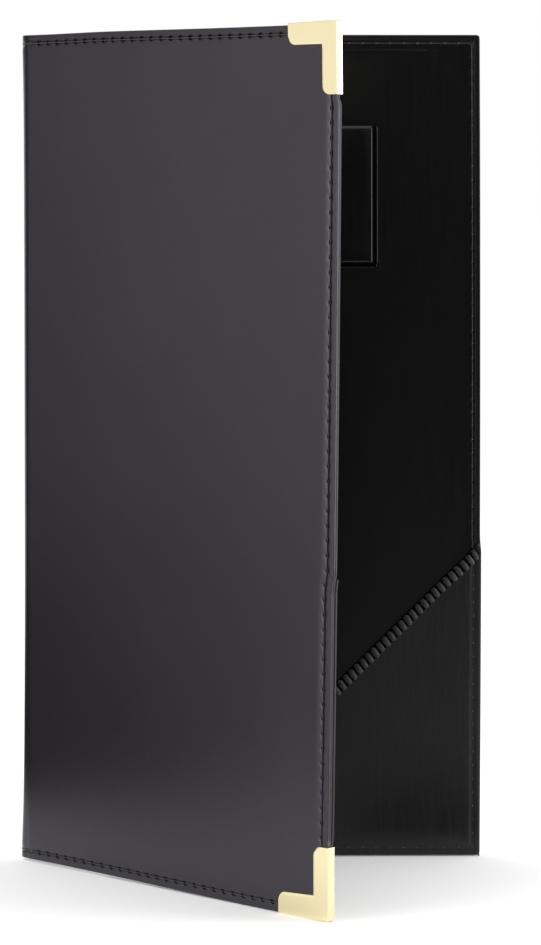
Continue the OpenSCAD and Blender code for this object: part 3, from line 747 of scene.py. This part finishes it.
def metal_corner(end):
    """Sheet metal folded over both edges: two arms with round ends on each face of the cover."""
    deep = METAL_OUT + (1 - PINCH) * (HEM_DEEP if end == "foot" else LINING_DEEP) + METAL_GAP
    arm_w, extra = CORNER_ARM_W[end] - METAL_OUT, ROW_ARM_EXTRA[end]
    near = [0, 0.12, 0.35, 0.7, 1.15, 1.7, 2.3, CORNER_ARM_R, 4.2, 6.0, 7.6, 8.6]
    arm_run = near[-1] + 0.8 - CORNER_ARM_R            # the stations from an arm's round end to the elbow
    stations = [("row", d) for d in near] + [("turn", a) for a in (10, 25, 40, 50, 65, 80)]
    stations += [("fore", d) for d in reversed(near)]
    angles = [math.radians(d) for d in (0, 18, 36, 54, 72, 90)]
    fold = [(METAL_FOLD_R * (1 - math.sin(a)), METAL_FOLD_R * (1 - math.cos(a))) for a in angles]
    flat = (arm_w, 5.2, 4.4, 3.4, 2.4, 1.4, FOLD_SIDE)
    section = [(w, 0.0) for w in flat] + fold + [(0.0, 1.1), (0.0, deep - 0.9)]
    section += [(w, deep - d) for w, d in reversed(fold)] + [(w, deep) for w in reversed(flat)]

    def place(i, j):
        kind, p = stations[i]
        w, depth = section[j]
        if kind != "turn" and p < CORNER_ARM_R:
            most = arm_w - CORNER_ARM_R + math.sqrt(CORNER_ARM_R ** 2 - (CORNER_ARM_R - p) ** 2)
            if w >= FOLD_SIDE:
                w = FOLD_SIDE + (w - FOLD_SIDE) * (most - FOLD_SIDE) / (arm_w - FOLD_SIDE)
        centre = max(CORNER_R, w) + 0.12
        radius = centre - w
        if kind == "turn":
            a = math.radians(p)
            s, z = centre - radius * math.sin(a), centre - radius * math.cos(a)
        else:
            arm = CORNER_REACH[end][kind] - (extra if kind == "fore" else 0)
            reach = arm - p
            if p > CORNER_ARM_R:
                reach = centre + (arm - CORNER_ARM_R - centre) * (1 - (p - CORNER_ARM_R) / arm_run)
            s, z = (reach, w) if kind == "row" else (w, reach)
        z += (extra - ROW_ARM_TAPER * max(s - arm_w, 0)) * smooth(z, FOLD_SIDE, arm_w)
        return Vector((COVER_W + METAL_OUT - s, METAL_OUT - depth, z - METAL_OUT))

    bm = grid(len(stations), len(section), place)
    bmesh.ops.recalc_face_normals(bm, faces=bm.faces)
    bm.normal_update()
    on_face = Vector((COVER_W - 3, METAL_OUT, 10))
    probe = min(bm.faces, key=lambda f: (f.calc_center_median() - on_face).length)
    if probe.normal.y < 0:
        bmesh.ops.reverse_faces(bm, faces=bm.faces)
    if end == "head":
        for v in bm.verts:
            v.co.z = COVER_H - v.co.z
        bmesh.ops.reverse_faces(bm, faces=bm.faces)
    elbow = Vector((COVER_W - 4, 0, 4 if end == "foot" else COVER_H - 4))
    bmesh.ops.rotate(bm, verts=bm.verts, cent=elbow, matrix=Matrix.Rotation(CORNER_TILT, 3, "Y"))
    bmesh.ops.translate(bm, verts=bm.verts, vec=Vector(CORNER_SHIFT[end]))
    bend(bm, "front", pinched=False)
    return bm


# ---------------------------------------------------------------- materials
def linear(code):
    """An sRGB hex colour as linear RGBA."""
    parts = [int(code[k:k + 2], 16) / 255 for k in (1, 3, 5)]
    return [c / 12.92 if c <= 0.04045 else ((c + 0.055) / 1.055) ** 2.4 for c in parts] + [1.0]


class Surface:
    """A material being made up; add() puts in a node, linked by the names or _numbers of its sockets."""

    def __init__(self, name):
        self.material = bpy.data.materials.new(name)
        self.material.use_nodes = True
        self.tree = self.material.node_tree
        self.shader = self.tree.nodes["Principled BSDF"]

    def add(self, kind, settings=None, **links):
        node = self.tree.nodes.new("ShaderNode" + kind)
        for key, value in (settings or {}).items():
            if isinstance(key, int) or key in node.inputs.keys():
                node.inputs[key].default_value = value
            else:
                setattr(node, key, value)
        for key, source in links.items():
            socket = int(key[1:]) if key.startswith("_") else key
            self.tree.links.new(source, node.inputs[socket])
        return node

    def set(self, **values):
        for key, value in values.items():
            name = key.replace("_", " ")
            if isinstance(value, bpy.types.NodeSocket):
                self.tree.links.new(value, self.shader.inputs[name])
            else:
                self.shader.inputs[name].default_value = value
        return self.material


MM = 1000.0    # Object coordinates are metres, so a pattern of n mm has a scale of MM / n
BUMP_M = 0.0002
A_COLOUR, B_COLOUR, MIXED = 6, 7, 2    # a Mix node's colour inputs and output


def leatherette(name, dark, light, grain_mm, roughness, bump, specular=0.5):
    """Bonded leatherette, embossed by a grain roller and lacquered: a fine pebble with a satin sheen."""
    s = Surface(name)
    place = s.add("TexCoord").outputs["Object"]
    pebble = s.add("TexVoronoi", {"Scale": MM / grain_mm, "feature": "SMOOTH_F1", "Smoothness": 0.6},
                   Vector=place)
    pores = s.add("TexNoise", {"Scale": MM / (grain_mm * 0.45), "Detail": 3.0, "Roughness": 0.6},
                  Vector=place)
    cloud = s.add("TexNoise", {"Scale": MM / 38.0, "Detail": 3.0, "Roughness": 0.55}, Vector=place)
    relief = s.add("Math", {"operation": "MULTIPLY_ADD", 1: 0.7}, _0=pebble.outputs["Distance"],
                   _2=pores.outputs[0])
    tone = s.add("MapRange", {"From Min": 0.3, "From Max": 0.7}, Value=cloud.outputs[0])
    shade = s.add("Mix", {"data_type": "RGBA", A_COLOUR: linear(dark), B_COLOUR: linear(light)},
                  _0=tone.outputs[0])
    wear = s.add("MapRange", {"From Min": 0.25, "From Max": 0.75, "To Min": roughness - 0.05,
                              "To Max": roughness + 0.06}, Value=pores.outputs[0])
    dent = s.add("Bump", {"Strength": bump, "Distance": BUMP_M}, Height=relief.outputs[0])
    # Painted shade: the colour darkens to near black towards each needle hole's middle
    hole = s.add("Attribute", {"attribute_name": "needle_hole_shade"})
    hole_shaded_colour = s.add("Mix", {"data_type": "RGBA", B_COLOUR: linear("#050405")}, _0=hole.outputs["Fac"],
                    _6=shade.outputs[MIXED])
    return s.set(Base_Color=hole_shaded_colour.outputs[MIXED], Roughness=wear.outputs[0], Normal=dent.outputs[0],
                 Specular_IOR_Level=specular, Specular_Tint=linear("#f7f0ff"))


def streaked_sheet(name, dark, light, grain_mm, roughness, bump, specular=0.5):
    """Thin calendered sheet: a smooth face with faint upright drawing lines."""
    s = Surface(name)
    place = s.add("TexCoord").outputs["Object"]
    drawn = s.add("Mapping", {"Scale": (1, 1, 0.07)}, Vector=place)
    lines = s.add("TexNoise", {"Scale": MM / grain_mm, "Detail": 4.0, "Roughness": 0.6},
                  Vector=drawn.outputs[0])
    pores = s.add("TexNoise", {"Scale": MM / 0.5, "Detail": 2.0}, Vector=place)
    tone = s.add("MapRange", {"From Min": 0.35, "From Max": 0.65}, Value=lines.outputs[0])
    shade = s.add("Mix", {"data_type": "RGBA", A_COLOUR: linear(dark), B_COLOUR: linear(light)},
                  _0=tone.outputs[0])
    both = s.add("Math", {"operation": "MULTIPLY_ADD", 1: 0.4}, _0=pores.outputs[0], _2=lines.outputs[0])
    wear = s.add("MapRange", {"To Min": roughness - 0.04, "To Max": roughness + 0.06}, Value=lines.outputs[0])
    dent = s.add("Bump", {"Strength": bump, "Distance": BUMP_M}, Height=both.outputs[0])
    return s.set(Base_Color=shade.outputs[MIXED], Roughness=wear.outputs[0], Normal=dent.outputs[0],
                 Specular_IOR_Level=specular)


def spun_thread(name, dark, light, strand_mm, roughness, sheen):
    """Spun polyester thread: fine twisted strands with a soft fuzz."""
    s = Surface(name)
    place = s.add("TexCoord").outputs["Object"]
    strands = s.add("TexNoise", {"Scale": MM / strand_mm, "Detail": 3.0, "Roughness": 0.65}, Vector=place)
    tone = s.add("MapRange", {"From Min": 0.35, "From Max": 0.65}, Value=strands.outputs[0])
    shade = s.add("Mix", {"data_type": "RGBA", A_COLOUR: linear(dark), B_COLOUR: linear(light)},
                  _0=tone.outputs[0])
    dent = s.add("Bump", {"Strength": 0.6, "Distance": BUMP_M / 2}, Height=strands.outputs[0])
    return s.set(Base_Color=shade.outputs[MIXED], Roughness=roughness, Normal=dent.outputs[0],
                 Sheen_Weight=sheen, Sheen_Roughness=0.5)


def gilt_brass(name):
    """Brass sheet, polished and gold plated: bright, with the faintest buffing lines and haze."""
    # Real buffing lines are a few hundredths of a mm wide; they are drawn 0.35 mm wide so that they show
    s = Surface(name)
    place = s.add("TexCoord").outputs["Object"]
    buffed = s.add("Mapping", {"Scale": (1, 1, 0.1)}, Vector=place)
    lines = s.add("TexNoise", {"Scale": MM / 0.35, "Detail": 3.0}, Vector=buffed.outputs[0])
    haze = s.add("TexNoise", {"Scale": MM / 6.0, "Detail": 2.0}, Vector=place)
    wear = s.add("MapRange", {"From Min": 0.3, "From Max": 0.7, "To Min": 0.1, "To Max": 0.2},
                 Value=haze.outputs[0])
    dent = s.add("Bump", {"Strength": 0.08, "Distance": BUMP_M / 4}, Height=lines.outputs[0])
    return s.set(Base_Color=linear("#f5e7bc"), Metallic=1.0, Roughness=wear.outputs[0],
                 Normal=dent.outputs[0])


def grey_board(name):
    """Pressed grey board: felted paper fibre, dull and uneven."""
    s = Surface(name)
    place = s.add("TexCoord").outputs["Object"]
    fibre = s.add("TexNoise", {"Scale": MM / 0.8, "Detail": 5.0, "Roughness": 0.7}, Vector=place)
    shade = s.add("Mix", {"data_type": "RGBA", A_COLOUR: linear("#7d7365"), B_COLOUR: linear("#a09484")},
                  _0=fibre.outputs[0])
    return s.set(Base_Color=shade.outputs[MIXED], Roughness=0.9)


COVER_LEATHER = leatherette("bonded_leatherette", "#0d0b0e", "#121013", 0.55, 0.3, 0.15, 0.58)
LINING_SHEET = streaked_sheet("smooth_lining_leatherette", "#08080a", "#0b0b0d", 1.2, 0.36, 0.1, 0.22)
POCKET_SHEET = streaked_sheet("drawn_grain_leatherette", "#0f0d10", "#161418", 0.7, 0.38, 0.3, 0.33)
# The film is glossy and nearly black; where the weld pressed a channel it is coloured darker still and dull,
# as painted shade
VINYL = streaked_sheet("welded_pvc_film", "#08080a", "#0b0b0d", 2.0, 0.22, 0.05)
WELD_GROOVE_SHADE = streaked_sheet("weld_groove_painted_shade", "#020203", "#030304", 2.0, 0.6, 0.05, 0.05)
# Painted shade: the pits of the needle holes and a strip along each bill pocket's mouth are near-black and
# dull, for the shade in the holes and under and between the whipstitch turns
NEEDLE_HOLE_SHADE = streaked_sheet("needle_hole_painted_shade", "#040304", "#060506", 0.5, 0.9, 0.2, 0.05)
MOUTH_SHADE = streaked_sheet("mouth_painted_shade", "#040405", "#070708", 0.4, 0.9, 0.4, 0.05)
# Thread is dull and a little lighter than the sheets; waxed bobbin thread is smoother, but not at its knots,
# which are also a little lighter as a painted highlight
WHIP_THREAD = spun_thread("floss_whip_thread", "#131314", "#272729", 0.22, 0.6, 0.2)
SEW_THREAD = spun_thread("spun_polyester_thread", "#1a191d", "#2a282d", 0.15, 0.6, 0.1)
BOBBIN_THREAD = spun_thread("waxed_bobbin_thread", "#141416", "#262628", 0.15, 0.5, 0.1)
KNOT_HIGHLIGHT_THREAD = spun_thread("bobbin_knot_painted_highlight", "#1a1a1c", "#2b2b2d", 0.15, 0.6, 0.12)
GILT = gilt_brass("gold_plated_brass")
BOARD = grey_board("pressed_grey_board")


# ---------------------------------------------------------------- pieces and the bodies that they ride on
def point(angle, side):
    """A point in the middle of the web, at an angle round the spine from its cover."""
    return bent((-angle * SPINE_R, -WEB_T / 2, COVER_H / 2), side) / 1000


def across_crease(obj, side):
    """Half the spine bends with its cover about the crease between them."""
    reach = math.radians(15)
    near, far = point(CREASE - reach, side), point(CREASE + reach, side)
    if side == "back":
        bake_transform(obj, "back_cover", "spine", start=near, end=far)
    else:
        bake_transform(obj, "spine", "front_cover", start=far, end=near)


FILM_T = 0.3
LAYERS = (("_pressed_board", "_board", 0.6, 0.56, 1.46),     # (name, CAD name, foot, outer and inner depth)
          ("_filler_card", "_infill", 8.1, 1.54, 1.96))

for side, body in (("back", "back_cover"), ("front", "front_cover")):
    stiff, filler = [piece(side + name, card_layer(side, GUTTER, COVER_W - foot, foot, outer, inner), BOARD,
                           [side + cad_name], smooth_faces=False)
                     for name, cad_name, foot, outer, inner in LAYERS]
    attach(stiff, body)
    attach(filler, body)
    skins = [side + "_cover_skin"] + (["spine_skin"] if side == "back" else [])
    skin = piece(side + "_leatherette", leather_sheet(side), COVER_LEATHER, skins, LEATHER_T)
    skin.data.materials.append(NEEDLE_HOLE_SHADE)
    across_crease(skin, side)
    linings = [side + "_lining"] + (["spine_lining"] if side == "back" else [])
    lining = piece(side + "_lining_sheet", lining_sheet(side), LINING_SHEET, linings, LINING_T)
    across_crease(lining, side)
    pocket = piece(side + "_pocket_sheet", pocket_sheet(side), POCKET_SHEET,
                   [side + "_bill_pocket"], LEATHER_T)
    pocket.data.materials.append(MOUTH_SHADE)
    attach(pocket, body)
    whips = piece(side + "_whip_thread", whip_row(side), WHIP_THREAD, [side + "_whipstitch"])
    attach(whips, body)
    for outer, kind in ((True, "needle"), (False, "bobbin")):
        spun = SEW_THREAD if outer else BOBBIN_THREAD
        thread = piece(f"{side}_{kind}_stitches", seam_thread(side, outer), spun,
                       [f"{side}_{kind}_thread"])
        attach(thread, body)
        rest = piece(f"spine_{side}_{kind}_stitches", seam_thread(side, outer, True), spun,
                     [f"spine_{kind}_thread"])
        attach(rest, "spine")
        if not outer:
            thread.data.materials.append(KNOT_HIGHLIGHT_THREAD)
            rest.data.materials.append(KNOT_HIGHLIGHT_THREAD)

card = piece("card_pocket_film", card_sheet(), VINYL, ["card_pocket"], FILM_T)
card.data.materials.append(WELD_GROOVE_SHADE)
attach(card, "back_cover")

for end, name in (("head", "top"), ("foot", "bottom")):
    corner = piece(name + "_gilt_corner", metal_corner(end), GILT, [name + "_metal_corner"],
                   METAL_T)
    bevel = corner.modifiers.new("edge", "BEVEL")
    bevel.width, bevel.segments, bevel.limit_method = METAL_BEVEL / 1000, 3, "ANGLE"
    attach(corner, "front_cover")


# ---------------------------------------------------------------- camera
PICTURE_H = 945                    # rows in the picture
FOCAL_PX = 4077.2                  # focal length in those rows
AXIS_ROW = 291.76                  # the row that the lens axis passes through
CAMERA_AT = (-0.0179, -1.20354, 0.21895)
CAMERA_DOWN, CAMERA_RIGHT = math.radians(2.0), math.radians(1.0676)

lens = bpy.data.cameras.new("camera")
lens.sensor_width = 36.0
lens.lens = FOCAL_PX / PICTURE_H * lens.sensor_width
lens.shift_y = -(PICTURE_H / 2 - AXIS_ROW) / PICTURE_H
lens.clip_start, lens.clip_end = 0.05, 60
camera = bpy.data.objects.new("camera", lens)
bpy.context.scene.collection.objects.link(camera)
camera.location = CAMERA_AT
camera.rotation_euler = (math.pi / 2 - CAMERA_DOWN, 0, -CAMERA_RIGHT)
bpy.context.scene.camera = camera


# ---------------------------------------------------------------- floor, world and lamps
def matt(name, code, glow=0.0):
    """Dull paint or felt; glow stands for a little of the light that a studio's white walls throw back."""
    s = Surface(name)
    return s.set(Base_Color=linear(code), Roughness=0.9, Specular_IOR_Level=0.1,
                 Emission_Color=(1, 1, 1, 1), Emission_Strength=glow)


def stage_plane(name, size, place, material):
    """A plane of the set, which isn't part of the folder."""
    bm = bmesh.new()
    bmesh.ops.create_grid(bm, x_segments=1, y_segments=1, size=size)
    bmesh.ops.transform(bm, matrix=place, verts=bm.verts)
    mesh = mesh_of(bm, name)
    mesh.materials.append(material)
    obj = bpy.data.objects.new(name, mesh)
    bpy.context.scene.collection.objects.link(obj)
    return obj


stage_plane("floor", 8.0, Matrix.Identity(4), matt("painted_white_floor", "#fafafa", 0.1))


def felt_flag(name, wide, tall, middle, turned=Matrix.Identity(4), code="#0a0a0a"):
    """Black or grey felt that only shows where a surface mirrors it, so that the floor stays evenly lit."""
    place = Matrix.Translation(middle) @ turned @ Matrix.Diagonal((wide, tall, 1, 1))
    flag = stage_plane(name, 0.5, place, matt(name, code))
    flag.visible_camera = flag.visible_diffuse = flag.visible_shadow = False


UPRIGHT = Matrix.Rotation(math.pi / 2, 4, "X")
SIDEWAYS = Matrix.Rotation(math.pi / 2, 4, "Z")
felt_flag("front_flag", 2.35, 2.4, (0.725, -1.35, 0.5), UPRIGHT)
felt_flag("left_flag", 0.42, 1.2, (-0.6, 0.345, 0.3), SIDEWAYS @ UPRIGHT)
felt_flag("low_left_flag", 1.15, 0.54, (-0.72, 0.26, 0.004))
felt_flag("low_flag", 1.2, 1.21, (0.63, -0.775, 0.004))
felt_flag("between_flag", 0.07, 0.072, (0.065, 0.001, 0.003))
felt_flag("foot_flag", 0.28, 0.25, (-0.33, -0.08, 0.003), code="#c8c8c8")


def softbox(name, place, aim, wide, tall, level, spill=1.0):
    """A lamp panel; level is its brightness beside the white world's, spill what matt surfaces get of it."""
    lamp = bpy.data.lights.new(name, "AREA")
    lamp.shape, lamp.size, lamp.size_y = "RECTANGLE", wide, tall
    lamp.energy = level * math.pi * wide * tall
    lamp.diffuse_factor = spill
    obj = bpy.data.objects.new(name, lamp)
    bpy.context.scene.collection.objects.link(obj)
    obj.location = place
    obj.rotation_euler = (Vector(aim) - Vector(place)).to_track_quat("-Z", "Y").to_euler()
    obj.visible_camera = False


softbox("right_softbox", (1.25, -0.2, 0.3), (0, 0, 0.13), 0.7, 1.3, 5.0, 0.3)
softbox("left_softbox", (-1.03, -0.75, 0.35), (0.09, -0.1, 0.15), 0.8, 1.2, 3.0, 0.3)

world = bpy.data.worlds.new("studio")
bpy.context.scene.world = world
world.use_nodes = True
world.node_tree.nodes["Background"].inputs["Color"].default_value = (1, 1, 1, 1)
world.node_tree.nodes["Background"].inputs["Strength"].default_value = 1.0

bpy.context.scene.view_settings.view_transform = "Standard"
